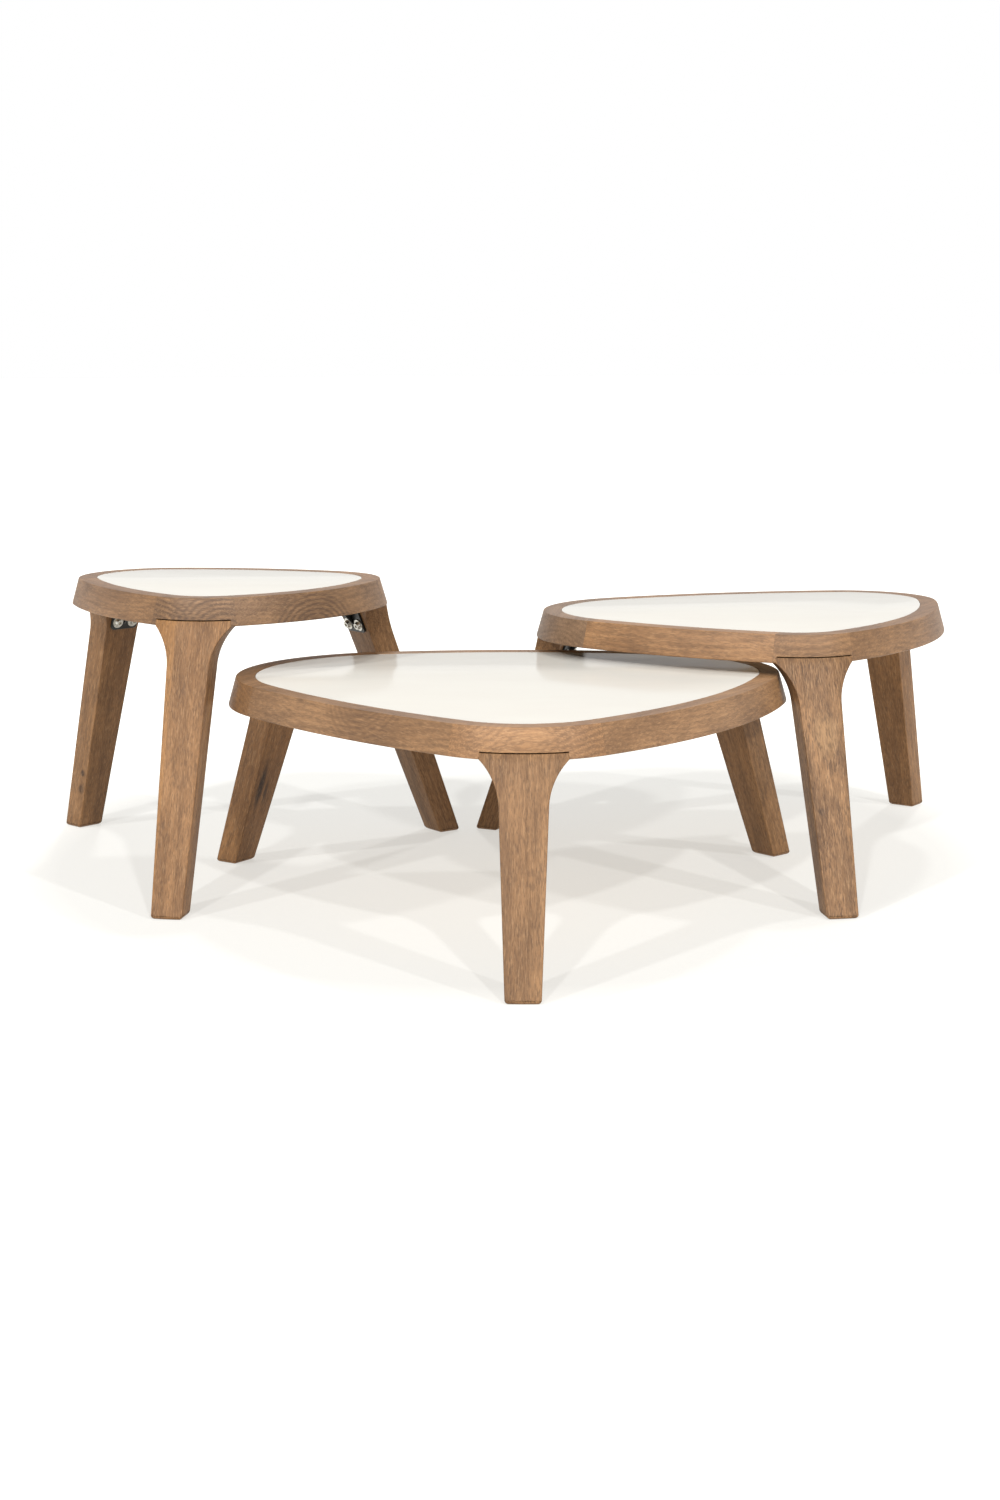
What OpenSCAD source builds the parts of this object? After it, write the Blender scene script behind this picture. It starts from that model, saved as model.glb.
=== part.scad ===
/* [Heights] */
// Height of the low, large table, floor to top face
low_h = 333; // [320:1:338]
// Height of the middle table
mid_h = 394; // [386:1:420]
// Height of the tall, small table
tall_h = 451; // [435:1:480]

/* [Rim and top] */
// Height of the wooden rim
rim_h = 42; // [38:1:46]
// Width of the rim's top face, outer edge to stone panel
rim_face = 29; // [26:1:32]
// How far the rim's outer face leans out from top to bottom
rim_lean = 12; // [6:1:14]
// Width of the rim at its underside
rim_base = 46; // [46:1:54]
// Bevel on the rim's top outer edge
rim_bevel = 1.2; // [0.6:0.1:2]
// Thickness of the stone panel
panel_t = 12; // [8:1:12]
// Thickness of the board under the panel
board_t = 18; // [15:1:18]
// Gap between the rim and the panel
panel_gap = 0.4; // [0.2:0.1:0.8]

/* [Legs] */
// Width of a leg where it meets the rim
leg_top_w = 118; // [110:1:122]
// Width of a leg below its flare
leg_neck_w = 65; // [64:1:74]
// Width of a foot
foot_w = 47; // [42:1:54]
// Thickness of a foot, outer to inner face
foot_t = 41; // [36:1:46]
// Radius of the flare on each side of a leg
flare_r = 82; // [82:2:110]
// Depth of the notch in the rim that holds the leg top
notch_h = 10; // [6:1:10]

/* [Fittings] */
// Width of a steel bracket
bracket_w = 52; // [48:1:54]
// Plate thickness of a steel bracket
bracket_t = 4; // [3:0.5:5]
// Length of the bracket's plate down the leg
bracket_drop = 56; // [52:1:64]
// Length of the bracket's plate under the board
bracket_reach = 52; // [46:1:60]
// Diameter of a leg bolt's shank
bolt_d = 7.8; // [5.8:0.1:7.9]
// Diameter of a bolt washer
washer_d = 20; // [18:1:21]
// Spacing of the two bolts in a bracket
bolt_pitch = 30; // [28:1:31]
// Thickness of the glide under a foot
glide_t = 1.2; // [1:0.2:3]
// Diameter of the glide under a foot
glide_d = 26; // [20:1:30]

/* [Plan of the low table] */
// Where the table's middle stands on the floor
low_place = [35.9, -145.6]; // [-430:0.1:430]
// Direction of the front, right and left corners
low_dir = [-91.4, 41.6, -214.6]; // [-226:0.2:60]
// Distance of each corner's arc centre from the table's middle
low_reach = [204, 225, 231]; // [110:1:280]
// Radius of each corner at the top edge
low_corner = [156, 214, 246]; // [98:1:250]
// Radius of the front right, back and front left sides
low_side = [836, 971, 1337]; // [340:1:1400]
// Distance of each foot's outer face from the table's middle
low_foot = [491.2, 560.2, 591.2]; // [370:0.2:600]

/* [Plan of the middle table] */
// Where the table's middle stands on the floor
mid_place = [424.9, 195.4]; // [-430:0.1:430]
// Direction of the front, right and left corners
mid_dir = [-80.8, 53.4, -207]; // [-226:0.2:60]
// Distance of each corner's arc centre from the table's middle
mid_reach = [148, 276, 177]; // [110:1:280]
// Radius of each corner at the top edge
mid_corner = [106, 143, 199]; // [98:1:250]
// Radius of the front right, back and front left sides
mid_side = [645, 1071, 1014]; // [340:1:1400]
// Distance of each foot's outer face from the table's middle
mid_foot = [418.2, 533.2, 518.2]; // [370:0.2:600]

/* [Plan of the tall table] */
// Where the table's middle stands on the floor
tall_place = [-423.1, 172.4]; // [-430:0.1:430]
// Direction of the front, right and left corners
tall_dir = [-100, 36.4, -223]; // [-226:0.2:60]
// Distance of each corner's arc centre from the table's middle
tall_reach = [113, 115, 176]; // [110:1:280]
// Radius of each corner at the top edge
tall_corner = [106, 134, 137]; // [98:1:250]
// Radius of the front right, back and front left sides
tall_side = [351, 614, 661]; // [340:1:1400]
// Distance of each foot's outer face from the table's middle
tall_foot = [383.2, 418.2, 441.2]; // [370:0.2:600]

/* [Hidden] */
$fn = 96;
// Index of each table in the lists below
LOW = 0;
MID = 1;
TALL = 2;
// Index of each corner, anticlockwise from above; side i runs from corner i to the next one
FRONT = 0;
RIGHT = 1;
LEFT = 2;
height = [low_h, mid_h, tall_h];
place = [low_place, mid_place, tall_place];
dir = [low_dir, mid_dir, tall_dir];
reach = [low_reach, mid_reach, tall_reach];
corner_r = [low_corner, mid_corner, tall_corner];
side_r = [low_side, mid_side, tall_side];
foot = [low_foot, mid_foot, tall_foot];
rebate = panel_t + board_t;
insert_d = 12;
insert_l = 22;
bore_l = 30;
bolt_l = 28;
bolt_drop = 42;
screw_d = 4.4;
screw_l = 14;
screw_back = 32;
washer_t = 1.5;
fit = 0.2;
arc_step = 2.5;
wood = [0.60, 0.44, 0.31];
leg_wood = [0.64, 0.48, 0.34];
stone = [0.95, 0.94, 0.91];
ply = [0.76, 0.66, 0.50];
steel = [0.08, 0.08, 0.08];
zinc = [0.75, 0.75, 0.73];
pad = [0.20, 0.18, 0.16];

// Arc centre of a corner, measured from the table's middle
function hub(k, i) = reach[k][i] * [cos(dir[k][i]), sin(dir[k][i])];
function after(i) = (i + 1) % 3;
function before(i) = (i + 2) % 3;
// Arc centre of side i: the point from which both corner arcs are touched from inside
function side_hub(k, i) =
    let (a = hub(k, i), b = hub(k, after(i)), r = side_r[k][i])
    let (ra = r - corner_r[k][i], rb = r - corner_r[k][after(i)], l = norm(b - a), e = (b - a) / l)
    let (x = (l * l + ra * ra - rb * rb) / (2 * l), y = sqrt(ra * ra - x * x))
    a + x * e + y * [-e[1], e[0]];
function bearing(v) = atan2(v[1], v[0]);
function turn(from, to) = (to - from + 720) % 360;
// Directions at which a corner's arc starts and ends, and how far it turns
function corner_start(k, i) = bearing(hub(k, i) - side_hub(k, before(i)));
function corner_turn(k, i) = turn(corner_start(k, i), bearing(hub(k, i) - side_hub(k, i)));
function side_start(k, i) = bearing(hub(k, i) - side_hub(k, i));
function side_turn(k, i) = turn(side_start(k, i), bearing(hub(k, after(i)) - side_hub(k, i)));

// Level of the rim's underside and of the board's underside
function rim_z(k) = height[k] - rim_h;
function board_z(k) = height[k] - rebate;
// Radius of the outer face at the rim's underside
function low_edge(k, i) = corner_r[k][i] + rim_lean;
// Inner face of a leg at the rim's underside, set so that the flat bracket clears the curved rim
function leg_in(k, i) =
    reach[k][i] + sqrt(pow(low_edge(k, i) - rim_base, 2) - pow(bracket_w / 2 + 1, 2)) - 0.5;
function foot_in(k, i) = foot[k][i] - foot_t;
// Angle between a leg's inner face and the vertical
function leg_tilt(k, i) = atan((foot_in(k, i) - leg_in(k, i)) / rim_z(k));
function flare_h() = sqrt(pow(flare_r, 2) - pow(flare_r - (leg_top_w - leg_neck_w) / 2, 2));

// Section of the rim, radius across and height up, for an outer top edge of radius r
module rim_section(k, r) {
    h = height[k];
    polygon([
        [r + rim_lean - rim_base, h - rim_h],
        [r + rim_lean, h - rim_h],
        [r + rim_lean * rim_bevel / rim_h, h - rim_bevel],
        [r - rim_bevel, h],
        [r - rim_face, h],
        [r - rim_face, h - rebate],
        [r + rim_lean - rim_base, h - rebate]
    ]);
}

// The section on the page, turned about an arc centre of a table
module arc_band(centre, from, angle) {
    translate([centre[0], centre[1], 0])
        rotate([0, 0, from])
            rotate_extrude(angle = angle)
                children();
}

module in_table(k) {
    translate([place[k][0], place[k][1], 0])
        children();
}

// Leg frame: x runs outwards through the corner, y across the leg, z up
module at_leg(k, i) {
    in_table(k)
        rotate([0, 0, dir[k][i]])
            children();
}

// Frame on the inner face of a leg: x runs into the wood, z up the slope
module on_leg_face(k, i) {
    at_leg(k, i)
        translate([leg_in(k, i), 0, rim_z(k)])
            rotate([0, -leg_tilt(k, i), 0])
                children();
}

// The notch that the leg of corner i stands in
module leg_notch(k, i) {
    at_leg(k, i)
        translate([reach[k][i], -leg_top_w / 2 - fit, rim_z(k) - 1])
            cube([low_edge(k, i) + 10, leg_top_w + 2 * fit, notch_h + 1]);
}

// Rim piece over side i; a wide leg's notch runs a little way into it
module rim_side(k, i) {
    difference() {
        in_table(k)
            arc_band(side_hub(k, i), side_start(k, i), side_turn(k, i))
                rim_section(k, side_r[k][i]);
        leg_notch(k, i);
        leg_notch(k, after(i));
    }
}

// Rim piece round corner i
module rim_corner(k, i) {
    difference() {
        in_table(k)
            arc_band(hub(k, i), corner_start(k, i), corner_turn(k, i))
                rim_section(k, corner_r[k][i]);
        leg_notch(k, i);
    }
}

// Points along an arc, one every few degrees, without its last point
function arc_points(centre, r, from, angle) =
    let (steps = ceil(angle / arc_step))
    [for (n = [0:steps - 1])
        centre + r * [cos(from + angle * n / steps), sin(from + angle * n / steps)]];
// The table's plan, grown outwards from the rim's top edge; a minus value draws it in
function plan_points(k, grow) = [
    for (i = [0:2])
        each concat(
            arc_points(hub(k, i), corner_r[k][i] + grow, corner_start(k, i), corner_turn(k, i)),
            arc_points(side_hub(k, i), side_r[k][i] + grow, side_start(k, i), side_turn(k, i)))
];

// Flat piece with the table's rounded plan that lies inside the rim's face
module plan_plate(k, z, t) {
    in_table(k)
        translate([0, 0, z])
            linear_extrude(height = t)
                polygon(plan_points(k, -rim_face - panel_gap));
}

module top_panel(k) {
    plan_plate(k, height[k] - panel_t, panel_t);
}

module sub_top(k) {
    difference() {
        plan_plate(k, board_z(k), board_t);
        for (i = [0:2])
            bracket_screw_holes(k, i);
    }
}

module bracket_screw_holes(k, i) {
    for (side = [-1, 1])
        at_leg(k, i)
            translate([leg_in(k, i) - screw_back, side * bolt_pitch / 2, board_z(k) - 1])
                cylinder(h = screw_l + 2, d = screw_d);
}

// Outline of a leg seen from outside, y across and z up, before its flare is cut
module leg_front_shape(k) {
    zn = rim_z(k) - flare_h();
    zt = rim_z(k) + notch_h;
    polygon([
        [-foot_w / 2, glide_t], [foot_w / 2, glide_t], [leg_neck_w / 2, zn], [leg_top_w / 2, zn],
        [leg_top_w / 2, zt], [-leg_top_w / 2, zt], [-leg_top_w / 2, zn], [-leg_neck_w / 2, zn]
    ]);
}

// Round cutter that leaves a hollow flare on one side of a leg
module flare_cut(k, i, side) {
    translate([0, side * (leg_neck_w / 2 + flare_r), rim_z(k) - flare_h()])
        rotate([0, 90, 0])
            cylinder(h = foot[k][i] + 20, r = flare_r, $fn = 180);
}

// Outline of a leg seen from its side, x outwards and z up; the outer face is cut by the cones
module leg_side_shape(k, i) {
    far = foot[k][i] + 20;
    polygon([
        [foot_in(k, i), 0], [far, 0], [far, rim_z(k) + notch_h + 5],
        [leg_in(k, i), rim_z(k) + notch_h + 5], [leg_in(k, i), rim_z(k)]
    ]);
}

// Solid whose curved wall is the outer face of a leg, flush with the rim above
module leg_outer(k, i) {
    z = rim_z(k);
    r = low_edge(k, i);
    translate([reach[k][i], 0, 0]) {
        cylinder(h = z, r1 = foot[k][i] - reach[k][i], r2 = r);
        translate([0, 0, z])
            cylinder(h = notch_h, r1 = r, r2 = r - rim_lean * notch_h / rim_h);
    }
}

module leg(k, i) {
    difference() {
        at_leg(k, i)
            intersection() {
                rotate([90, 0, 90])
                    linear_extrude(height = foot[k][i] + 20)
                        leg_front_shape(k);
                rotate([90, 0, 0])
                    linear_extrude(height = leg_top_w + 20, center = true)
                        leg_side_shape(k, i);
                leg_outer(k, i);
            }
        at_leg(k, i)
            for (side = [-1, 1])
                flare_cut(k, i, side);
        bolt_places(k, i)
            rotate([0, 90, 0])
                translate([0, 0, -5])
                    cylinder(h = bore_l + 5, d = insert_d);
    }
}

// The two bolt axes of a leg, on its inner face
module bolt_places(k, i) {
    for (side = [-1, 1])
        on_leg_face(k, i)
            translate([0, side * bolt_pitch / 2, -bolt_drop])
                children();
}

// Bent plate against the leg, rim and board, seen from its side
module bracket_shape(k, i) {
    x = leg_in(k, i);
    z = rim_z(k);
    t = bracket_t;
    a = leg_tilt(k, i);
    bend = t * tan(a / 2);
    low_end = [x, z] + bracket_drop * [sin(a), -cos(a)];
    polygon([
        [x - bracket_reach, board_z(k)], [x, board_z(k)], [x, z], low_end,
        low_end - t * [cos(a), sin(a)], [x - t, z - bend], [x - t, board_z(k) - t],
        [x - bracket_reach, board_z(k) - t]
    ]);
}

// Rib that stiffens the bracket's bend
module rib_shape(k, i) {
    x = leg_in(k, i) - bracket_t;
    z = rim_z(k);
    a = leg_tilt(k, i);
    foot_end = [x, z - bracket_t * tan(a / 2)] + (bracket_drop - 8) * [sin(a), -cos(a)];
    polygon([
        [x - bracket_reach + 12, board_z(k) - bracket_t + 0.5], [x + 0.5, board_z(k) - bracket_t + 0.5],
        [x + 0.5, z], foot_end + [0.5, 0]
    ]);
}

module bracket(k, i) {
    difference() {
        at_leg(k, i)
            rotate([90, 0, 0]) {
                linear_extrude(height = bracket_w, center = true)
                    bracket_shape(k, i);
                linear_extrude(height = bracket_t, center = true)
                    rib_shape(k, i);
            }
        bolt_places(k, i)
            rotate([0, 90, 0])
                translate([0, 0, -bracket_t - 1])
                    cylinder(h = bracket_t + 2, d = bolt_d + 0.8);
        for (side = [-1, 1])
            at_leg(k, i)
                translate([leg_in(k, i) - screw_back, side * bolt_pitch / 2, board_z(k) - bracket_t - 1])
                    cylinder(h = bracket_t + 2, d = screw_d + 0.6);
    }
}

module leg_bolts(k) {
    for (i = [0:2])
        bolt_places(k, i)
            rotate([0, 90, 0])
                difference() {
                    union() {
                        translate([0, 0, -bracket_t - washer_t - 5])
                            cylinder(h = 5, d1 = 11, d2 = 13.5);
                        translate([0, 0, -bracket_t - washer_t])
                            cylinder(h = bolt_l, d = bolt_d);
                    }
                    translate([0, 0, -bracket_t - washer_t - 6])
                        cylinder(h = 4, d = 5.8, $fn = 6);
                }
}

module washers(k) {
    for (i = [0:2])
        bolt_places(k, i)
            rotate([0, 90, 0])
                translate([0, 0, -bracket_t - washer_t])
                    difference() {
                        cylinder(h = washer_t, d = washer_d);
                        translate([0, 0, -1])
                            cylinder(h = washer_t + 2, d = bolt_d + 0.6);
                    }
}

module inserts(k) {
    for (i = [0:2])
        bolt_places(k, i)
            rotate([0, 90, 0])
                difference() {
                    cylinder(h = insert_l, d = insert_d);
                    translate([0, 0, -1])
                        cylinder(h = insert_l + 2, d = bolt_d + 0.2);
                }
}

module bracket_screws(k) {
    for (i = [0:2])
        for (side = [-1, 1])
            at_leg(k, i)
                translate([leg_in(k, i) - screw_back, side * bolt_pitch / 2, board_z(k) - bracket_t]) {
                    cylinder(h = bracket_t + screw_l, d = screw_d);
                    translate([0, 0, -3])
                        cylinder(h = 3, d1 = 6, d2 = 9);
                }
}

module glides(k) {
    for (i = [0:2])
        at_leg(k, i)
            translate([foot[k][i] - foot_t / 2, 0, 0])
                cylinder(h = glide_t, d = glide_d);
}

module low_rim_corner_front() {
    color(wood)
        rim_corner(LOW, FRONT);
}

module low_rim_corner_right() {
    color(wood)
        rim_corner(LOW, RIGHT);
}

module low_rim_corner_left() {
    color(wood)
        rim_corner(LOW, LEFT);
}

module low_rim_side_front_right() {
    color(wood)
        rim_side(LOW, FRONT);
}

module low_rim_side_back() {
    color(wood)
        rim_side(LOW, RIGHT);
}

module low_rim_side_front_left() {
    color(wood)
        rim_side(LOW, LEFT);
}

module low_top_panel() {
    color(stone)
        top_panel(LOW);
}

module low_sub_top() {
    color(ply)
        sub_top(LOW);
}

module low_leg_front() {
    color(leg_wood)
        leg(LOW, FRONT);
}

module low_leg_right() {
    color(leg_wood)
        leg(LOW, RIGHT);
}

module low_leg_left() {
    color(leg_wood)
        leg(LOW, LEFT);
}

module low_bracket_front() {
    color(steel)
        bracket(LOW, FRONT);
}

module low_bracket_right() {
    color(steel)
        bracket(LOW, RIGHT);
}

module low_bracket_left() {
    color(steel)
        bracket(LOW, LEFT);
}

module low_leg_bolts() {
    color(zinc)
        leg_bolts(LOW);
}

module low_bolt_washers() {
    color(zinc)
        washers(LOW);
}

module low_leg_inserts() {
    color(zinc)
        inserts(LOW);
}

module low_bracket_screws() {
    color(zinc)
        bracket_screws(LOW);
}

module low_glides() {
    color(pad)
        glides(LOW);
}

module mid_rim_corner_front() {
    color(wood)
        rim_corner(MID, FRONT);
}

module mid_rim_corner_right() {
    color(wood)
        rim_corner(MID, RIGHT);
}

module mid_rim_corner_left() {
    color(wood)
        rim_corner(MID, LEFT);
}

module mid_rim_side_front_right() {
    color(wood)
        rim_side(MID, FRONT);
}

module mid_rim_side_back() {
    color(wood)
        rim_side(MID, RIGHT);
}

module mid_rim_side_front_left() {
    color(wood)
        rim_side(MID, LEFT);
}

module mid_top_panel() {
    color(stone)
        top_panel(MID);
}

module mid_sub_top() {
    color(ply)
        sub_top(MID);
}

module mid_leg_front() {
    color(leg_wood)
        leg(MID, FRONT);
}

module mid_leg_right() {
    color(leg_wood)
        leg(MID, RIGHT);
}

module mid_leg_left() {
    color(leg_wood)
        leg(MID, LEFT);
}

module mid_bracket_front() {
    color(steel)
        bracket(MID, FRONT);
}

module mid_bracket_right() {
    color(steel)
        bracket(MID, RIGHT);
}

module mid_bracket_left() {
    color(steel)
        bracket(MID, LEFT);
}

module mid_leg_bolts() {
    color(zinc)
        leg_bolts(MID);
}

module mid_bolt_washers() {
    color(zinc)
        washers(MID);
}

module mid_leg_inserts() {
    color(zinc)
        inserts(MID);
}

module mid_bracket_screws() {
    color(zinc)
        bracket_screws(MID);
}

module mid_glides() {
    color(pad)
        glides(MID);
}

module tall_rim_corner_front() {
    color(wood)
        rim_corner(TALL, FRONT);
}

module tall_rim_corner_right() {
    color(wood)
        rim_corner(TALL, RIGHT);
}

module tall_rim_corner_left() {
    color(wood)
        rim_corner(TALL, LEFT);
}

module tall_rim_side_front_right() {
    color(wood)
        rim_side(TALL, FRONT);
}

module tall_rim_side_back() {
    color(wood)
        rim_side(TALL, RIGHT);
}

module tall_rim_side_front_left() {
    color(wood)
        rim_side(TALL, LEFT);
}

module tall_top_panel() {
    color(stone)
        top_panel(TALL);
}

module tall_sub_top() {
    color(ply)
        sub_top(TALL);
}

module tall_leg_front() {
    color(leg_wood)
        leg(TALL, FRONT);
}

module tall_leg_right() {
    color(leg_wood)
        leg(TALL, RIGHT);
}

module tall_leg_left() {
    color(leg_wood)
        leg(TALL, LEFT);
}

module tall_bracket_front() {
    color(steel)
        bracket(TALL, FRONT);
}

module tall_bracket_right() {
    color(steel)
        bracket(TALL, RIGHT);
}

module tall_bracket_left() {
    color(steel)
        bracket(TALL, LEFT);
}

module tall_leg_bolts() {
    color(zinc)
        leg_bolts(TALL);
}

module tall_bolt_washers() {
    color(zinc)
        washers(TALL);
}

module tall_leg_inserts() {
    color(zinc)
        inserts(TALL);
}

module tall_bracket_screws() {
    color(zinc)
        bracket_screws(TALL);
}

module tall_glides() {
    color(pad)
        glides(TALL);
}

low_rim_corner_front();
low_rim_corner_right();
low_rim_corner_left();
low_rim_side_front_right();
low_rim_side_back();
low_rim_side_front_left();
low_top_panel();
low_sub_top();
low_leg_front();
low_leg_right();
low_leg_left();
low_bracket_front();
low_bracket_right();
low_bracket_left();
low_leg_bolts();
low_bolt_washers();
low_leg_inserts();
low_bracket_screws();
low_glides();
mid_rim_corner_front();
mid_rim_corner_right();
mid_rim_corner_left();
mid_rim_side_front_right();
mid_rim_side_back();
mid_rim_side_front_left();
mid_top_panel();
mid_sub_top();
mid_leg_front();
mid_leg_right();
mid_leg_left();
mid_bracket_front();
mid_bracket_right();
mid_bracket_left();
mid_leg_bolts();
mid_bolt_washers();
mid_leg_inserts();
mid_bracket_screws();
mid_glides();
tall_rim_corner_front();
tall_rim_corner_right();
tall_rim_corner_left();
tall_rim_side_front_right();
tall_rim_side_back();
tall_rim_side_front_left();
tall_top_panel();
tall_sub_top();
tall_leg_front();
tall_leg_right();
tall_leg_left();
tall_bracket_front();
tall_bracket_right();
tall_bracket_left();
tall_leg_bolts();
tall_bolt_washers();
tall_leg_inserts();
tall_bracket_screws();
tall_glides();
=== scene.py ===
import math

import bmesh
import bpy
from mathutils import Matrix, Vector

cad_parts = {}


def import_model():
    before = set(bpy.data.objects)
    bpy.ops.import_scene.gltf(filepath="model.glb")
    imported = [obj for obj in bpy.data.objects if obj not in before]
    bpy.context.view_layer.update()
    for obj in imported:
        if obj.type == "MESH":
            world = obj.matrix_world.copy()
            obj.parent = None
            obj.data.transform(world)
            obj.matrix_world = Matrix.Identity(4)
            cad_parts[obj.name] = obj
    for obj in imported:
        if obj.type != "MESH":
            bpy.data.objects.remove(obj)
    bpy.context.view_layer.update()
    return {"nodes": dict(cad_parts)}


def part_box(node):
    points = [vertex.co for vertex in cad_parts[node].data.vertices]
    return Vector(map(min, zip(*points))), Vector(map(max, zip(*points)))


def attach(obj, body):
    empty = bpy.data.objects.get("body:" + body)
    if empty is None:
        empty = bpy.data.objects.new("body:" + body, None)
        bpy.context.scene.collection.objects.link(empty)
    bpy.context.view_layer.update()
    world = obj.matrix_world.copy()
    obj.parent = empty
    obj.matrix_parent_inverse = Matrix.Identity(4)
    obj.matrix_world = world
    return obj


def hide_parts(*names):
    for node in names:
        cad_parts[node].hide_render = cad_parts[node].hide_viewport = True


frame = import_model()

# ---------------------------------------------------------------- sizes (metres)
MM = 0.001
RIM_H = 42 * MM
RIM_FACE = 29 * MM  # width of the top face
RIM_LEAN = 12 * MM  # how much further out the lower edge is than the upper one
RIM_BASE = 46 * MM  # width of the underside
RIM_JOINT = 0.06 * MM  # left open at each end of a rim piece
PANEL_T = 12 * MM
PANEL_GAP = 0.4 * MM
PANEL_BEVEL = 0.7 * MM
PANEL_DIP = 0.05 * MM  # how far the stone's face is below the rim's
BOARD_T = 18 * MM
LEG_TOP_W = 118 * MM
LEG_NECK_W = 65 * MM
LEG_ARRIS = 1.8 * MM
LEG_TOP_EASE = 0.4 * MM
LEG_PROUD = 0.5 * MM  # how much further in the leg's inner face is than the rim's, beside the bracket
FLARE_R = 82 * MM
FLARE_ZONE = 70 * MM  # the height below the rim where the leg's sections are close together
FOOT_W = 47 * MM
FOOT_T = 41 * MM
FOOT_ROUND = 5 * MM  # how far in the foot's rounded edge goes
FOOT_ROUND_H = 5.5 * MM  # and how high
# Lower than the top of the foot's round, so a band of about 1 mm is folded flat on each leg, and the normals
# of two legs (mid right and tall left) point inwards; 8 mm would clear both.
FIRST_SECTION = 5 * MM
NOTCH_H = 10 * MM
NOTCH_ROOM = 0.2 * MM  # at each side of the leg
JOINT_GAP = 1.7 * MM  # the shadow line over each leg
BRACKET_W = 52 * MM
BRACKET_ROOM = 1 * MM  # at each side, within the rim's inner curve
BRACKET_T = 4 * MM
BRACKET_DROP = 56 * MM  # down the leg
BRACKET_REACH = 52 * MM  # inwards under the board
BRACKET_ROUND = 6 * MM  # of its bend and of its four corners
RIB_SHORT = 12 * MM  # the rib ends this far before the end of the bracket's arm
RIB_SHORT_LOW = 8 * MM  # and this far before its lower end
RIB_SINK = 0.5 * MM  # how deep the rib's edges are in the plate
GLIDE_T = 1.2 * MM
FOOT_BASE = 0.4 * GLIDE_T  # where the foot's round starts, within the glide
CORNERS = ("front", "right", "left")
SIDES = ("front_right", "back", "front_left")

# Each table's plan in millimetres and degrees. heading: the direction of each corner from the table's
# place; reach: how far out its arc's centre is; corner: the arc's radius; side: the radius of the side after
# it; foot: how far out the leg's foot is.
TABLES = {
    "low": dict(place=(35.9, -145.6), heading=(-91.4, 41.6, -214.6), reach=(204, 225, 231),
                corner=(156, 214, 246), side=(836, 971, 1337), foot=(491.2, 560.2, 591.2)),
    "mid": dict(place=(424.9, 195.4), heading=(-80.8, 53.4, -207), reach=(148, 276, 177),
                corner=(106, 143, 199), side=(645, 1071, 1014), foot=(418.2, 533.2, 518.2)),
    "tall": dict(place=(-423.1, 172.4), heading=(-100, 36.4, -223), reach=(113, 115, 176),
                 corner=(106, 134, 137), side=(351, 614, 661), foot=(383.2, 418.2, 441.2)),
}

# How finely things are cut
PANEL_STEP = math.radians(1.5)
WIDE_STEP = math.radians(0.8)
TIGHT_STEP = math.radians(2)
WIDE_RADIUS = 0.3
SMOOTH_BELOW = math.radians(35)
BEVEL_ABOVE = math.radians(40)


# ---------------------------------------------------------------- the plan of a table
class Arc:
    """A stretch of the plan: a centre, a radius, where it starts and how far it turns."""

    def __init__(self, centre, radius, start, turn):
        self.centre, self.radius, self.start, self.turn = centre, radius, start, turn

    def out(self, t):
        a = self.start + self.turn * t
        return Vector((math.cos(a), math.sin(a)))

    def at(self, t, grow=0.0):
        return self.centre + (self.radius + grow) * self.out(t)


class Table:
    """A table's plan: three corner arcs and three side arcs, each running smoothly into the next."""

    def __init__(self, name, place, heading, reach, corner, side, foot):
        self.place = Vector(place) * MM
        self.heading = [math.radians(a) for a in heading]
        self.reach = [v * MM for v in reach]
        self.foot = [v * MM for v in foot]
        self.corner_r = [v * MM for v in corner]
        self.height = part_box(name + "_top_panel")[1].z
        self.rim_z = self.height - RIM_H
        self.board_z = self.height - PANEL_T - BOARD_T
        self.corners, self.sides = self.arcs([v * MM for v in side])

    def arcs(self, side_r):
        hubs = [self.place + r * Vector((math.cos(a), math.sin(a))) for r, a in zip(self.reach, self.heading)]
        side_hubs = []
        for i in range(3):
            j = (i + 1) % 3
            side_hubs.append(self.side_hub(hubs[i], hubs[j], side_r[i], self.corner_r[i], self.corner_r[j]))
        corners, sides = [], []
        for i in range(3):
            start = bearing(hubs[i] - side_hubs[i - 1])
            end = bearing(hubs[i] - side_hubs[i])
            corners.append(Arc(hubs[i], self.corner_r[i], start, (end - start) % math.tau))
            after = bearing(hubs[(i + 1) % 3] - side_hubs[i])
            sides.append(Arc(side_hubs[i], side_r[i], end, (after - end) % math.tau))
        return corners, sides

    @staticmethod
    def side_hub(a, b, radius, ra, rb):
        """The centre of the arc that both corner arcs touch from inside."""
        ra, rb = radius - ra, radius - rb
        length = (b - a).length
        along = (b - a) / length
        x = (length * length + ra * ra - rb * rb) / (2 * length)
        y = math.sqrt(ra * ra - x * x)
        return a + x * along + y * Vector((-along.y, along.x))

    def outline(self, grow):
        points = []
        for i in range(3):
            for arc in (self.corners[i], self.sides[i]):
                n = max(4, math.ceil(arc.turn / PANEL_STEP))
                points += [arc.at(k / n, grow) for k in range(n)]
        return points

    def leg_frame(self, i):
        """x outwards through the corner, y across the leg, z up, from the table's middle."""
        return Matrix.Translation((self.place.x, self.place.y, 0)) @ Matrix.Rotation(self.heading[i], 4, "Z")

    def leg_in(self, i):
        """How far out the leg's inner face is at the rim's underside."""
        inner = self.corner_r[i] + RIM_LEAN - RIM_BASE
        return self.reach[i] + math.sqrt(inner ** 2 - (BRACKET_W / 2 + BRACKET_ROOM) ** 2) - LEG_PROUD

    def leg_tilt(self, i):
        return math.atan2(self.foot[i] - FOOT_T - self.leg_in(i), self.rim_z)

    def notch(self, i):
        """The direction of the notch for a leg, and half the angle that it takes."""
        return self.heading[i], math.asin((LEG_TOP_W / 2 + NOTCH_ROOM) / (self.corner_r[i] + RIM_LEAN))


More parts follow.
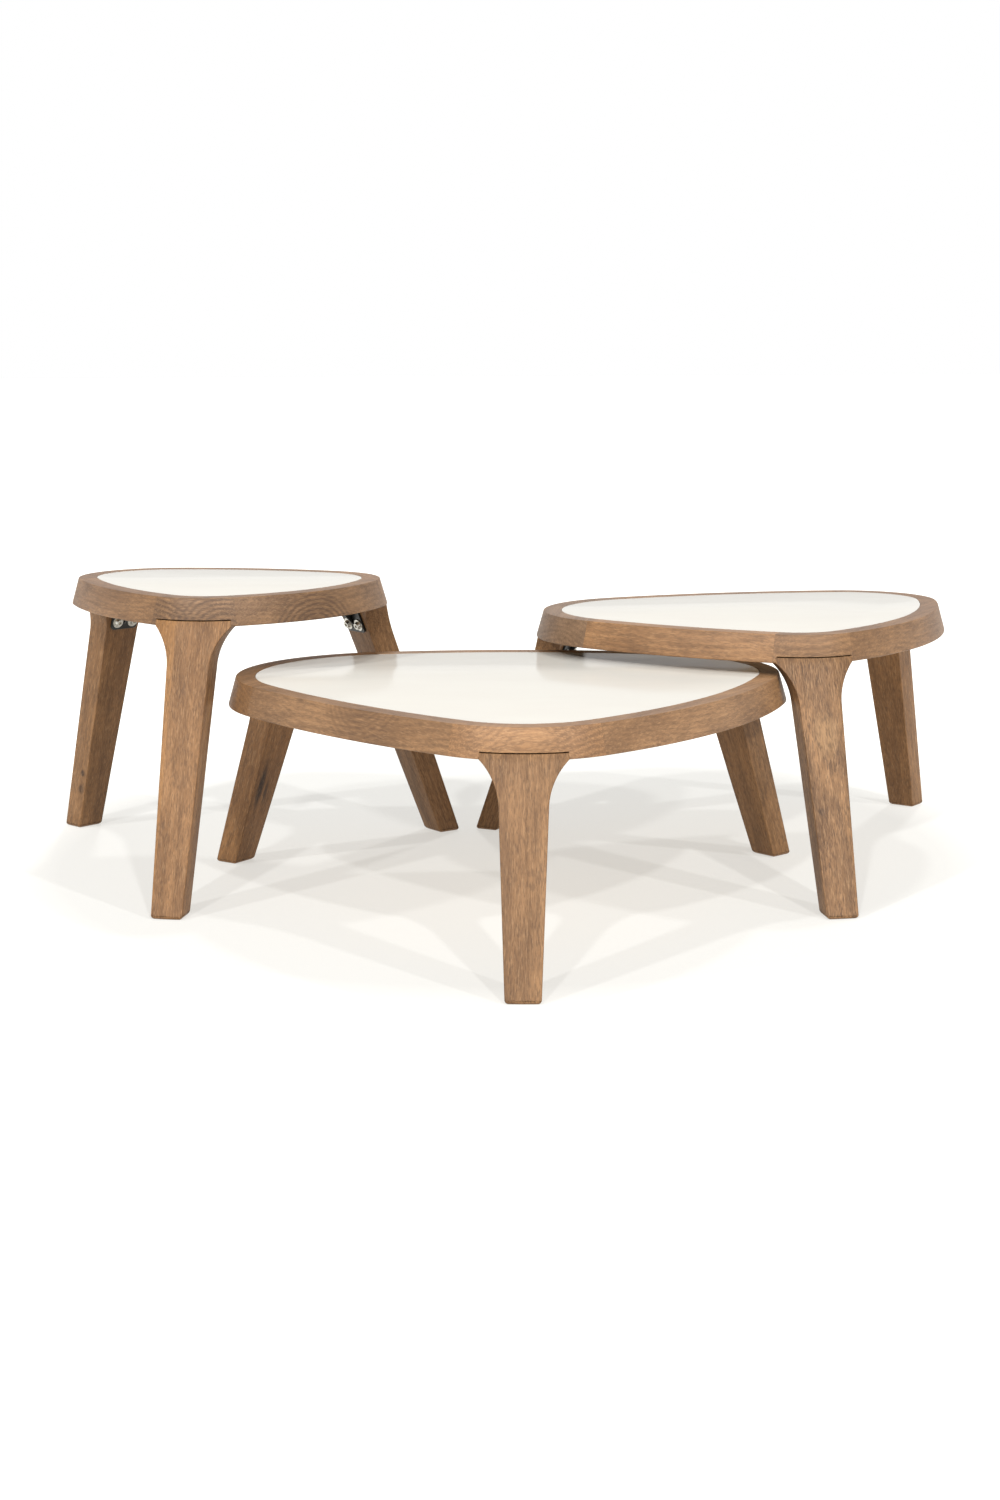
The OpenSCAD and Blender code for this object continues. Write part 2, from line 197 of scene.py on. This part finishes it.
def bearing(v):
    return math.atan2(v.y, v.x)


# ---------------------------------------------------------------- mesh helpers
def add_mesh(name, verts, faces, grain=None):
    """A mesh given in the frame. grain is the frame its wood follows, kept on the mesh as an attribute."""
    mesh = bpy.data.meshes.new(name)
    mesh.from_pydata([Vector(v) for v in verts], [], faces)
    mesh.validate()
    obj = bpy.data.objects.new(name, mesh)
    bpy.context.scene.collection.objects.link(obj)
    bm = bmesh.new()
    bm.from_mesh(mesh)
    bmesh.ops.remove_doubles(bm, verts=bm.verts, dist=1e-6)
    bmesh.ops.recalc_face_normals(bm, faces=bm.faces)
    bm.to_mesh(mesh)
    bm.free()
    back = (grain or Matrix.Identity(4)).inverted()
    along = mesh.attributes.new("grain", "FLOAT_VECTOR", "POINT")
    along.data.foreach_set("vector", [c for v in mesh.vertices for c in back @ v.co])
    return obj


def smooth(obj):
    """Smooth shading, with the sharper creases kept."""
    mesh = obj.data
    bm = bmesh.new()
    bm.from_mesh(mesh)
    for face in bm.faces:
        face.smooth = True
    for edge in bm.edges:
        edge.smooth = len(edge.link_faces) == 2 and edge.calc_face_angle(0) < SMOOTH_BELOW
    bm.to_mesh(mesh)
    bm.free()


def loft(name, rings, grain=None):
    """Closed rings of equal length joined into a skin, with both ends capped."""
    n = len(rings[0])
    verts = [p for ring in rings for p in ring]
    faces = []
    for r in range(len(rings) - 1):
        for k in range(n):
            a, b = r * n + k, r * n + (k + 1) % n
            faces.append((a, b, b + n, a + n))
    faces.append(tuple(range(n))[::-1])
    faces.append(tuple(range((len(rings) - 1) * n, len(rings) * n)))
    return add_mesh(name, verts, faces, grain)


def round_corner(before, corner, after, radius, steps):
    """Points that replace a corner with a small round."""
    u, v = (before - corner).normalized(), (after - corner).normalized()
    reach = radius / max(math.tan(u.angle(v) / 2), 0.2)
    a, b = corner + u * reach, corner + v * reach
    points = []
    for k in range(steps + 1):
        t = k / steps
        points.append(a * (1 - t) ** 2 + corner * 2 * t * (1 - t) + b * t * t)
    return points


def round_loop(points, radii, steps=4):
    """A closed outline with some of its corners rounded."""
    out = []
    for k, (p, r) in enumerate(zip(points, radii)):
        if r:
            out += round_corner(points[k - 1], p, points[(k + 1) % len(points)], r, steps)
        else:
            out.append(p)
    return out


# ---------------------------------------------------------------- rim
def rim_section(cut):
    """The rim's section, out from its upper edge and up from its underside; cut lifts the underside."""
    low = Vector((RIM_LEAN - RIM_LEAN / RIM_H * cut, cut))
    inner = RIM_LEAN - RIM_BASE
    ledge = RIM_H - PANEL_T - BOARD_T
    points = [Vector((inner, cut)), low, Vector((0, RIM_H)), Vector((-RIM_FACE, RIM_H)),
              Vector((-RIM_FACE, ledge)), Vector((inner, ledge))]
    low_edge = 0.25 * MM if cut else 1.6 * MM
    return round_loop(points, [0.4 * MM, low_edge, 1.3 * MM, 0.5 * MM, 0, 0.4 * MM])


def rim_ring(table, arc, t, cut):
    p, out = arc.at(t), arc.out(t)
    return [(p.x + out.x * q.x, p.y + out.y * q.x, table.rim_z + q.y) for q in rim_section(cut)]


def rim_grain_frame(table, arc):
    """z along the piece, x up, so that the wood's grain runs along the piece."""
    along = (arc.at(1.0) - arc.at(0.0)).normalized()
    z = Vector((along.x, along.y, 0))
    x = Vector((0, 0, 1))
    m = Matrix((x, z.cross(x), z)).transposed().to_4x4()
    mid = arc.at(0.5)
    m.translation = Vector((mid.x, mid.y, table.rim_z))
    return m


def rim_piece(table, name, arc, notch=None):
    """A piece of rim along an arc. notch is the direction and half angle over which a leg is let in."""
    step = WIDE_STEP if arc.radius > WIDE_RADIUS else TIGHT_STEP
    gap = RIM_JOINT / arc.radius / arc.turn
    spans = [(gap, 1 - gap, 0.0)]
    if notch:
        centre, half = notch
        a = (centre - half - arc.start) % math.tau / arc.turn
        b = (centre + half - arc.start) % math.tau / arc.turn
        spans = [(gap, a, 0.0), (a, b, NOTCH_H), (b, 1 - gap, 0.0)]
    rings = []
    for a, b, cut in spans:
        n = max(3, math.ceil((b - a) * arc.turn / step))
        rings += [rim_ring(table, arc, a + (b - a) * k / n, cut) for k in range(n + 1)]
    return loft(name, rings, rim_grain_frame(table, arc))


# ---------------------------------------------------------------- legs
def leg_half_width(table, z):
    """Half the leg's width at a height: a slow taper, then a hollow flare under the rim."""
    rise = math.sqrt(FLARE_R ** 2 - (FLARE_R - (LEG_TOP_W - LEG_NECK_W) / 2) ** 2)
    neck = table.rim_z - rise
    if z <= neck:
        return FOOT_W / 2 + (LEG_NECK_W - FOOT_W) / 2 * z / neck
    up = min(z, table.rim_z) - neck
    return LEG_NECK_W / 2 + FLARE_R - math.sqrt(FLARE_R ** 2 - up ** 2)


def leg_ring(table, i, z, shrink=0.0):
    """The leg's section at a height, in its leg frame, with its arrises eased."""
    reach, r_edge = table.reach[i], table.corner_r[i] + RIM_LEAN
    half = leg_half_width(table, z) - shrink
    if z <= table.rim_z:
        t = z / table.rim_z
        r_out = (table.foot[i] - reach) * (1 - t) + r_edge * t
        x_in = (table.foot[i] - FOOT_T) * (1 - t) + table.leg_in(i) * t
    else:
        r_out = r_edge - RIM_LEAN * (z - table.rim_z) / RIM_H
        x_in = table.leg_in(i)
    r_out -= shrink
    x_in += shrink
    outer = [Vector((reach + math.sqrt(r_out ** 2 - (half * s) ** 2), half * s))
             for s in [-1 + 0.25 * k for k in range(9)]]
    loop = [Vector((x_in, half)), Vector((x_in, -half))] + outer
    radii = [LEG_ARRIS] * 3 + [0] * 7 + [LEG_ARRIS]
    return [Vector((p.x, p.y, z)) for p in round_loop(loop, radii, 3)]


def leg_levels(table):
    """Heights of the leg's sections above the foot's round, closer together in the flare."""
    neck = table.rim_z - FLARE_ZONE
    levels = [neck * k / 12 + FIRST_SECTION * (1 - k / 12) for k in range(13)]
    levels += [neck + (table.rim_z - neck) * k / 24 for k in range(1, 25)]
    return levels + [table.rim_z + NOTCH_H * 0.5, table.rim_z + NOTCH_H - JOINT_GAP - LEG_TOP_EASE]


def leg(table, i, name):
    frame_m = table.leg_frame(i)
    rings = []
    for k in range(4):
        a = math.pi / 2 * k / 4
        z = FOOT_BASE + FOOT_ROUND_H * (1 - math.sin(a))
        rings.insert(0, leg_ring(table, i, z, FOOT_ROUND * (1 - math.cos(a))))
    rings += [leg_ring(table, i, z) for z in leg_levels(table)]
    rings.append(leg_ring(table, i, table.rim_z + NOTCH_H - JOINT_GAP, LEG_TOP_EASE))
    rings = [[frame_m @ p for p in ring] for ring in rings]
    grain = (Matrix.Translation(frame_m @ Vector((table.leg_in(i), 0, table.rim_z)))
             @ frame_m.to_3x3().to_4x4() @ Matrix.Rotation(-table.leg_tilt(i), 4, "Y"))
    return loft(name, rings, grain)


# ---------------------------------------------------------------- panel
def panel(table, name):
    grow = -RIM_FACE - PANEL_GAP
    rings = []
    for inset, z in ((0, table.height - PANEL_T), (0, table.height - PANEL_BEVEL),
                     (PANEL_BEVEL * 0.3, table.height - PANEL_BEVEL * 0.3),
                     (PANEL_BEVEL, table.height - PANEL_DIP)):
        rings.append([(p.x, p.y, z) for p in table.outline(grow - inset)])
    return loft(name, rings)


# ---------------------------------------------------------------- bracket
def plate(name, outline, thick, place, bevel):
    """A flat plate: its outline in x and y, its thickness along z."""
    n = len(outline)
    verts = [place @ Vector((p.x, p.y, z)) for z in (-thick / 2, thick / 2) for p in outline]
    faces = [tuple(range(n))[::-1], tuple(range(n, 2 * n))]
    faces += [(k, (k + 1) % n, n + (k + 1) % n, n + k) for k in range(n)]
    obj = add_mesh(name, verts, faces)
    mod = obj.modifiers.new("edges", "BEVEL")
    mod.width = bevel
    mod.segments = 2
    mod.limit_method = "ANGLE"
    mod.angle_limit = BEVEL_ABOVE
    return obj


def round_plate_ends(obj):
    """Round the four corners of a bracket's bent plate, at the edges as long as it is thick."""
    bm = bmesh.new()
    bm.from_mesh(obj.data)
    corners = [edge for edge in bm.edges if abs(edge.calc_length() - BRACKET_T) < 1e-6]
    bmesh.ops.bevel(bm, geom=corners, offset=BRACKET_ROUND, offset_type="OFFSET", segments=5, profile=0.5,
                    affect="EDGES")
    bm.to_mesh(obj.data)
    bm.free()


def bracket(table, i, name):
    """A bent plate against the board, rim and leg, and the rib in its bend."""
    x, z, bz, t, tilt = table.leg_in(i), table.rim_z, table.board_z, BRACKET_T, table.leg_tilt(i)
    down = Vector((math.sin(tilt), -math.cos(tilt)))
    inward = Vector((-math.cos(tilt), -math.sin(tilt)))
    low_end = Vector((x, z)) + BRACKET_DROP * down
    inner_bend = Vector((x - t, z - t * math.tan(tilt / 2)))
    section = [Vector((x - BRACKET_REACH, bz)), Vector((x, bz)), Vector((x, z)), low_end,
               low_end + t * inward, inner_bend, Vector((x - t, bz - t)), Vector((x - BRACKET_REACH, bz - t))]
    section = round_loop(section, [0, 1 * MM, BRACKET_ROUND, 0, 0, BRACKET_ROUND, 1 * MM, 0])
    place = table.leg_frame(i) @ Matrix.Rotation(math.pi / 2, 4, "X")
    bent = plate(name, section, BRACKET_W, place, 0.6 * MM)
    round_plate_ends(bent)
    top, face = bz - t + RIB_SINK, x - t + RIB_SINK
    rib_low = inner_bend + (BRACKET_DROP - RIB_SHORT_LOW) * down + Vector((RIB_SINK, 0))
    outline = [Vector((x - BRACKET_REACH + RIB_SHORT, top)), Vector((face, top)), Vector((face, z)), rib_low]
    rib = plate(name + "_rib", outline, BRACKET_T, place, 0.4 * MM)
    return bent, rib


# ---------------------------------------------------------------- materials
def srgb(r, g, b):
    """Linear colour from the usual 0 to 255 one."""
    def one(v):
        v /= 255
        return v / 12.92 if v <= 0.04045 else ((v + 0.055) / 1.055) ** 2.4
    return (one(r), one(g), one(b), 1.0)


def grey(v):
    return (v, v, v, 1.0)


class Nodes:
    """Short hand for a material's node tree."""

    def __init__(self, name, grain=False):
        self.mat = bpy.data.materials.new(name)
        self.mat.use_nodes = True
        self.tree = self.mat.node_tree
        self.shader = self.tree.nodes["Principled BSDF"]
        if grain:
            self.coord = self.add("Attribute", attribute_name="grain").outputs["Vector"]
        else:
            self.coord = self.add("TexCoord").outputs["Object"]

    def add(self, kind, inputs=None, **settings):
        node = self.tree.nodes.new("ShaderNode" + kind)
        for key, value in settings.items():
            setattr(node, key, value)
        for key, value in (inputs or {}).items():
            self.put(node.inputs[key], value)
        return node

    def put(self, socket, value):
        if isinstance(value, bpy.types.NodeSocket):
            self.tree.links.new(value, socket)
        else:
            socket.default_value = value

    def mapped(self, scale, shift=(0, 0, 0)):
        node = self.add("Mapping", {"Vector": self.coord, "Location": shift, "Scale": scale})
        return node.outputs["Vector"]

    def noise(self, vector, scale, detail=3.0, rough=0.55, distortion=0.0):
        node = self.add("TexNoise", {"Vector": vector, "Scale": scale, "Detail": detail,
                                     "Roughness": rough, "Distortion": distortion})
        return node.outputs["Fac"]

    def ramp(self, value, stops):
        node = self.add("ValToRGB", {"Fac": value})
        elements = node.color_ramp.elements
        while len(elements) < len(stops):
            elements.new(0.5)
        for element, (place, colour) in zip(elements, stops):
            element.position = place
            element.color = colour
        return node.outputs["Color"]

    def mask(self, value, low, high, least=0):
        """From least below low to 1 above high."""
        return self.ramp(value, [(low, grey(least)), (high, grey(1))])

    def math(self, kind, a, b=0.0):
        return self.add("Math", {0: a, 1: b}, operation=kind).outputs[0]

    def scaled(self, value, by, plus):
        return self.add("Math", {0: value, 1: by, 2: plus}, operation="MULTIPLY_ADD").outputs[0]

    def wave(self, length, per_metre):
        """0 to 1 and back, so many times in a metre."""
        return self.scaled(self.math("SINE", self.math("MULTIPLY", length, per_metre * math.tau)), 0.5, 0.5)

    def fade(self, value, start, end, first, last):
        node = self.add("MapRange", {"Value": value, "From Min": start, "From Max": end,
                                     "To Min": first, "To Max": last})
        return node.outputs[0]

    def vector(self, kind, a, b):
        return self.add("VectorMath", {0: a, 1: b}, operation=kind).outputs[0]

    def resized(self, vector, by):
        return self.add("VectorMath", {0: vector, 3: by}, operation="SCALE").outputs[0]

    def length(self, vector):
        return self.add("VectorMath", {0: vector}, operation="LENGTH").outputs["Value"]

    def cover(self, colour, over, mask, amount):
        """A colour with another one over it where the mask is bright."""
        node = self.add("Mix", {0: self.math("MULTIPLY", mask, amount), 6: colour, 7: over}, data_type="RGBA")
        return node.outputs[2]

    def bump(self, height, strength, distance):
        node = self.add("Bump", {"Height": height, "Strength": strength, "Distance": distance})
        self.put(self.shader.inputs["Normal"], node.outputs["Normal"])

    def finish(self, colour, roughness):
        self.put(self.shader.inputs["Base Color"], colour)
        self.put(self.shader.inputs["Roughness"], roughness)


ARC_RINGS = 135.0  # end-grain rings in a metre


def lay_marks(n, colour, marks, drift, tone):
    """Knots and streaks as (centre, size, amount), light patches where the amount is below 0."""
    for centre, size, amount in marks:
        away = n.vector("SUBTRACT", n.coord, centre)
        away = n.vector("ADD", away, n.resized(drift, 0.3))
        far = n.length(n.vector("DIVIDE", away, size))
        spot = n.ramp(far, [(0.45, grey(1)), (1.0, grey(0))])
        r, g, b = (48, 31, 20) if amount > 0 else (168, 132, 92)
        colour = n.cover(colour, srgb(r * tone, g * tone, b * tone), spot, abs(amount))
    return colour


def lay_arcs(n, colour, arcs, drift, dark):
    """Rings of end grain around (up, along), out to reach, right through the piece."""
    for up, along, reach, amount in arcs:
        away = n.vector("SUBTRACT", n.coord, (up, 0, along))
        away = n.vector("ADD", away, drift)
        far = n.length(n.vector("MULTIPLY", away, (1, 0, 0.8)))
        near = n.fade(far, reach * 0.75, reach, 1.0, 0.0)
        colour = n.cover(colour, dark, n.math("MULTIPLY", n.wave(far, ARC_RINGS), near), amount)
    return colour


def lay_painted_highlight(n, colour, painted_edge_highlight, tone):
    """A painted highlight: a lighter, warmer band beyond y = edge, along that side of a leg: towards +y where
    side is 1, towards -y where it is -1.
    """
    edge, side, amount = painted_edge_highlight
    y = n.add("SeparateXYZ", {"Vector": n.coord}).outputs["Y"]
    beyond = n.math("GREATER_THAN", n.math("MULTIPLY", y, side), edge * side)
    return n.cover(colour, srgb(156 * tone, 112 * tone, 66 * tone), beyond, amount)


def wood(name, seed, tone=1.0, warm=0.0, axis=(0.07, 0.04), rings=150.0, figure=0.55, dashes=0.34,
         gloss=0.4, blotches=0.4, arcs=(), marks=(), painted_edge_highlight=None):
    """Oiled hardwood, its grain along z of the grain frame. tone is how light it is, and warm shifts it to
    orange. The tree's heart is at -axis in x and y, with so many growth rings in a metre. figure, dashes
    and blotches are the strengths of the rings, of the short dashes and flecks, and of soft dark areas."""
    def shade(r, g, b):
        return srgb(r * tone, g * tone, b * tone)

    n = Nodes(name, grain=True)
    n.shader.inputs["Specular IOR Level"].default_value = gloss
    light = shade(146 + 8 * warm, 109, 73 - 9 * warm)
    mid = shade(121 + 8 * warm, 88, 57 - 8 * warm)
    dark = shade(78 + 5 * warm, 54, 34 - 4 * warm)

    cloud = n.add("TexNoise", {"Vector": n.mapped((1, 1, 0.3), (seed * 1.3, 0, seed)),
                               "Scale": 14.0, "Detail": 3.0}).outputs["Color"]
    drift = n.resized(n.vector("SUBTRACT", cloud, (0.5, 0.5, 0.5)), 0.03)
    bent = n.vector("ADD", n.mapped((1, 1, 0.1), (axis[0], axis[1], 0)), drift)
    ring = n.wave(n.length(n.vector("MULTIPLY", bent, (1, 1, 0.25))), rings)
    streak = n.noise(n.mapped((1, 1, 0.05), (0, seed, 0)), 170.0, 4.0, 0.62)
    broad = n.noise(n.mapped((1, 1, 0.35), (seed * 1.7, 0, 0)), 16.0, 4.0, 0.6)
    blotch = n.noise(n.mapped((1, 1, 0.5), (0, 0, seed * 2.3)), 42.0, 3.0, 0.6, 0.6)
    colour = n.ramp(broad, [(0.38, mid), (0.62, light)])
    colour = n.cover(colour, dark, ring, 0.5 * figure)
    colour = n.cover(colour, dark, n.mask(streak, 0.47, 0.72), 0.5)
    colour = n.cover(colour, dark, n.mask(blotch, 0.5, 0.75), blotches)

    colour = lay_marks(n, colour, marks, drift, tone)
    colour = lay_arcs(n, colour, arcs, drift, dark)
    # a painted highlight along one edge of the leg, where one is given
    if painted_edge_highlight:
        colour = lay_painted_highlight(n, colour, painted_edge_highlight, tone)

    fleck = n.mask(n.noise(n.mapped((1, 1, 0.1), (seed, 0, seed)), 640.0, 2.0), 0.52, 0.66)
    colour = n.cover(colour, shade(172, 136, 98), fleck, 0.7 * dashes)
    dash = n.mask(n.noise(n.mapped((1, 1, 0.16), (0, 0, seed)), 620.0, 2.0, 0.5), 0.48, 0.60)
    where = n.mask(n.noise(n.mapped((1, 1, 0.3), (seed, seed, 0)), 70.0, 2.0), 0.35, 0.6, least=0.5)
    dash = n.math("MULTIPLY", dash, where)
    colour = n.cover(colour, shade(66, 46, 31), dash, dashes)
    pore = n.mask(n.noise(n.mapped((1, 1, 0.09), (0, seed, seed)), 1400.0, 2.0), 0.60, 0.70)
    colour = n.cover(colour, shade(52, 37, 26), pore, 0.45)

    n.finish(colour, n.scaled(streak, 0.18, 0.42))
    pits = n.math("MULTIPLY", n.math("ADD", dash, pore), 0.5)
    n.bump(n.math("SUBTRACT", n.math("MULTIPLY", streak, 0.4), pits), 0.3, 0.0004)
    return n.mat


def stone():
    """Cream-white honed stone with faint clouding and veins."""
    n = Nodes("white_stone")
    cloud = n.noise(n.mapped((1, 2.2, 1)), 5.0, 5.0, 0.6, 0.4)
    vein = n.noise(n.mapped((0.6, 3.0, 1), (3, 1, 0)), 7.0, 6.0, 0.62, 1.2)
    vein = n.ramp(vein, [(0.44, grey(0)), (0.50, grey(1)), (0.56, grey(0))])
    base = n.ramp(cloud, [(0.30, srgb(206, 202, 194)), (0.70, srgb(208, 205, 197))])
    n.finish(n.cover(base, srgb(196, 189, 178), vein, 0.03), n.scaled(cloud, 0.06, 0.12))
    n.shader.inputs["Specular IOR Level"].default_value = 0.012
    n.bump(n.noise(n.coord, 160.0, 3.0), 0.03, 0.0001)
    return n.mat


def board():
    n = Nodes("board")
    layers = n.noise(n.mapped((0.15, 1, 1)), 90.0, 4.0)
    n.finish(n.ramp(layers, [(0.3, srgb(176, 146, 106)), (0.7, srgb(202, 174, 134))]), 0.7)
    n.bump(layers, 0.2, 0.0003)
    return n.mat


def black_steel():
    n = Nodes("black_steel")
    scuff = n.noise(n.coord, 60.0, 4.0)
    colour = n.ramp(scuff, [(0.4, srgb(20, 21, 20)), (0.75, srgb(44, 46, 44))])
    n.finish(colour, n.scaled(scuff, 0.2, 0.28))
    n.shader.inputs["Metallic"].default_value = 0.2
    n.bump(n.noise(n.coord, 1400.0, 2.0), 0.15, 0.0002)
    return n.mat


def zinc():
    n = Nodes("zinc")
    spread = n.noise(n.coord, 300.0, 3.0)
    colour = n.ramp(spread, [(0.3, srgb(186, 184, 176)), (0.7, srgb(216, 214, 206))])
    n.finish(colour, n.scaled(spread, 0.25, 0.2))
    n.shader.inputs["Metallic"].default_value = 1.0
    n.bump(spread, 0.1, 0.0001)
    return n.mat


def glide_pad():
    n = Nodes("glide_pad")
    fibres = n.noise(n.coord, 900.0, 3.0)
    n.finish(n.ramp(fibres, [(0.3, srgb(44, 38, 32)), (0.7, srgb(70, 62, 54))]), 0.9)
    n.bump(fibres, 0.4, 0.0004)
    return n.mat


def dress(obj, material):
    obj.data.materials.clear()
    obj.data.materials.append(material)


# ---------------------------------------------------------------- how the wood of each piece differs
# Corners and legs are in the order of CORNERS, sides in that of SIDES.
LEG_LOOK = dict(axis=(0.12, 0.05), rings=95.0, gloss=0.25, dashes=0.46, blotches=0.25)
LOOKS = {
    "low": dict(
        corner=[dict(tone=1.17, warm=-0.1, arcs=[(-0.03, 0.1, 0.09, 0.4), (0.07, -0.1, 0.08, 0.3)]),
                dict(tone=1.0, warm=-0.1),
                dict(tone=0.9, warm=0.7)],
        side=[dict(tone=1.07, warm=-0.2, arcs=[(-0.05, 0.12, 0.08, 0.35)]),
              dict(tone=1.0),
              dict(tone=1.03, warm=-0.1, arcs=[(0.06, 0.05, 0.075, 0.3), (-0.05, -0.14, 0.07, 0.3)])],
        leg=[dict(tone=0.98),
             dict(tone=0.96, warm=0.3),
             dict(tone=1.0, warm=0.5, marks=[((0, 0.014, -0.17), (0.03, 0.009, 0.05), 1.0),
                                             ((0, -0.002, -0.185), (0.03, 0.005, 0.028), 0.85)])]),
    "mid": dict(
        corner=[dict(tone=1.0, figure=0.8),
                dict(tone=0.93, warm=0.3),
                dict(tone=0.96, warm=-0.8)],
        side=[dict(tone=0.94, warm=0.2),
              dict(tone=1.0),
              dict(tone=1.07, warm=0.1)],
        leg=[dict(tone=0.99, figure=1.0, dashes=0.65, rings=130.0, axis=(0.06, 0.02),
                  marks=[((0.05, 0.004, -0.13), (0.06, 0.024, 0.04), -0.45),
                         ((0.05, -0.017, -0.245), (0.04, 0.006, 0.008), 0.7)]),
             dict(tone=1.0, warm=0.4),
             dict(tone=0.99)]),
    "tall": dict(
        corner=[dict(tone=0.99, figure=0.8, warm=-0.2,
                     arcs=[(-0.022, -0.07, 0.08, 0.75), (-0.02, 0.055, 0.085, 0.75)]),
                dict(tone=1.02),
                dict(tone=1.0, arcs=[(0.05, 0.05, 0.06, 0.75)])],
        side=[dict(tone=0.94, warm=-0.1, arcs=[(-0.022, -0.03, 0.075, 0.75)]),
              dict(tone=0.97),
              dict(tone=0.97, warm=0.1)],
        # a painted highlight along the left edge of the front leg
        leg=[dict(tone=1.02, warm=0.2, painted_edge_highlight=(-0.022, -1, 0.4)),
             dict(tone=1.0),
             dict(tone=0.99, warm=0.3, marks=[((0.012, 0.025, -0.327), (0.006, 0.012, 0.008), 0.9),
                                              ((0.011, 0.025, -0.357), (0.008, 0.012, 0.011), 0.7)])]),
}


# ---------------------------------------------------------------- build the tables
white_stone, board_wood, steel, plated, felt = stone(), board(), black_steel(), zinc(), glide_pad()

seed = 1
for table_name, plan in TABLES.items():
    table = Table(table_name, **plan)
    body = table_name + "_table"
    looks = LOOKS[table_name]
    for i, where in enumerate(CORNERS):
        node = f"{table_name}_rim_corner_{where}"
        piece = rim_piece(table, node + "_mesh", table.corners[i], table.notch(i))
        smooth(piece)
        dress(piece, wood(node, seed, **looks["corner"][i]))
        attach(piece, body)
        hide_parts(node)
        seed += 1
    for i, where in enumerate(SIDES):
        node = f"{table_name}_rim_side_{where}"
        piece = rim_piece(table, node + "_mesh", table.sides[i])
        smooth(piece)
        dress(piece, wood(node, seed, **looks["side"][i]))
        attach(piece, body)
        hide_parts(node)
        seed += 1
    for i, where in enumerate(CORNERS):
        node = f"{table_name}_leg_{where}"
        piece = leg(table, i, node + "_mesh")
        smooth(piece)
        dress(piece, wood(node, seed, **{**LEG_LOOK, **looks["leg"][i]}))
        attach(piece, body)
        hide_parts(node)
        seed += 1
        node = f"{table_name}_bracket_{where}"
        for piece in bracket(table, i, node + "_mesh"):
            smooth(piece)
            dress(piece, steel)
            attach(piece, body)
            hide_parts(node)
    piece = panel(table, table_name + "_top_panel_mesh")
    smooth(piece)
    dress(piece, white_stone)
    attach(piece, body)
    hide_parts(table_name + "_top_panel")
    dress(frame["nodes"][table_name + "_sub_top"], board_wood)
    for fitting in ("leg_bolts", "bolt_washers", "leg_inserts", "bracket_screws"):
        dress(frame["nodes"][f"{table_name}_{fitting}"], plated)
    dress(frame["nodes"][table_name + "_glides"], felt)


# ---------------------------------------------------------------- stage, light and camera
FLOOR_HALF = 60
FLOOR_GREY = (0.33, 0.33, 0.32, 1)
FLOOR_GLOW = (1.0, 0.985, 0.94, 1)
FILL = 0.28  # the white world's strength as a fill light
CAMERA_PLACE = (-0.0039, -3.3324, 0.815)
CAMERA_DOWN = math.radians(10.254)
CAMERA_ROLL = -0.004
LENS = 53.34
# Each sun's azimuth and elevation in degrees, strength, and the width of its disc in degrees. Azimuth 0
# is behind the camera, and a positive one is to its right.
SUNS = {
    "front_left_low": (-48, 35, 0.41, 2),
    "front_left_high": (-18, 40, 0.41, 2),
    "front_right_high": (20, 41, 0.41, 2),
    "front_right_low": (50, 34, 0.37, 2),
    "back_top": (165, 60, 0.24, 4),
}


def floor():
    """A matt floor that glows, more so away from the tables, until it is as white as the world."""
    mesh = bpy.data.meshes.new("floor")
    h = FLOOR_HALF
    mesh.from_pydata([(-h, -h, 0), (h, -h, 0), (h, h, 0), (-h, h, 0)], [], [(0, 1, 2, 3)])
    obj = bpy.data.objects.new("floor", mesh)
    bpy.context.scene.collection.objects.link(obj)
    n = Nodes("studio_floor")
    n.finish(FLOOR_GREY, 0.8)
    n.shader.inputs["Specular IOR Level"].default_value = 0.2
    n.shader.inputs["Emission Color"].default_value = FLOOR_GLOW
    away = n.length(n.mapped((1.12, 1, 1), (0, -0.25, 0)))
    n.put(n.shader.inputs["Emission Strength"], n.fade(away, 0.8, 1.15, 0.555, 1.0))
    dress(obj, n.mat)


def sun(name, azimuth, elevation, strength, spread):
    data = bpy.data.lights.new(name, "SUN")
    data.energy = strength * math.pi
    data.angle = math.radians(spread)
    obj = bpy.data.objects.new(name, data)
    bpy.context.scene.collection.objects.link(obj)
    a, e = math.radians(azimuth), math.radians(elevation)
    towards = Vector((math.sin(a) * math.cos(e), -math.cos(a) * math.cos(e), math.sin(e)))
    obj.rotation_euler = towards.to_track_quat("Z", "Y").to_euler()


def world():
    """White behind the object and in its gloss, dimmer as a fill light."""
    w = bpy.data.worlds.new("studio")
    bpy.context.scene.world = w
    w.use_nodes = True
    tree = w.node_tree
    back = tree.nodes["Background"]
    back.inputs["Color"].default_value = (1, 1, 1, 1)
    path = tree.nodes.new("ShaderNodeLightPath")
    level = tree.nodes.new("ShaderNodeMapRange")
    level.inputs["To Min"].default_value = 1.0
    level.inputs["To Max"].default_value = FILL
    tree.links.new(path.outputs["Is Diffuse Ray"], level.inputs["Value"])
    tree.links.new(level.outputs["Result"], back.inputs["Strength"])


def camera():
    data = bpy.data.cameras.new("camera")
    data.lens = LENS
    obj = bpy.data.objects.new("camera", data)
    bpy.context.scene.collection.objects.link(obj)
    pitch = Matrix.Rotation(math.radians(90) - CAMERA_DOWN, 4, "X")
    roll = Matrix.Rotation(CAMERA_ROLL, 4, "Z")
    obj.matrix_world = Matrix.Translation(CAMERA_PLACE) @ pitch @ roll
    bpy.context.scene.camera = obj


floor()
world()
for name, settings in SUNS.items():
    sun(name, *settings)
camera()
scene = bpy.context.scene
scene.view_settings.view_transform = "Standard"
scene.view_settings.look = "None"
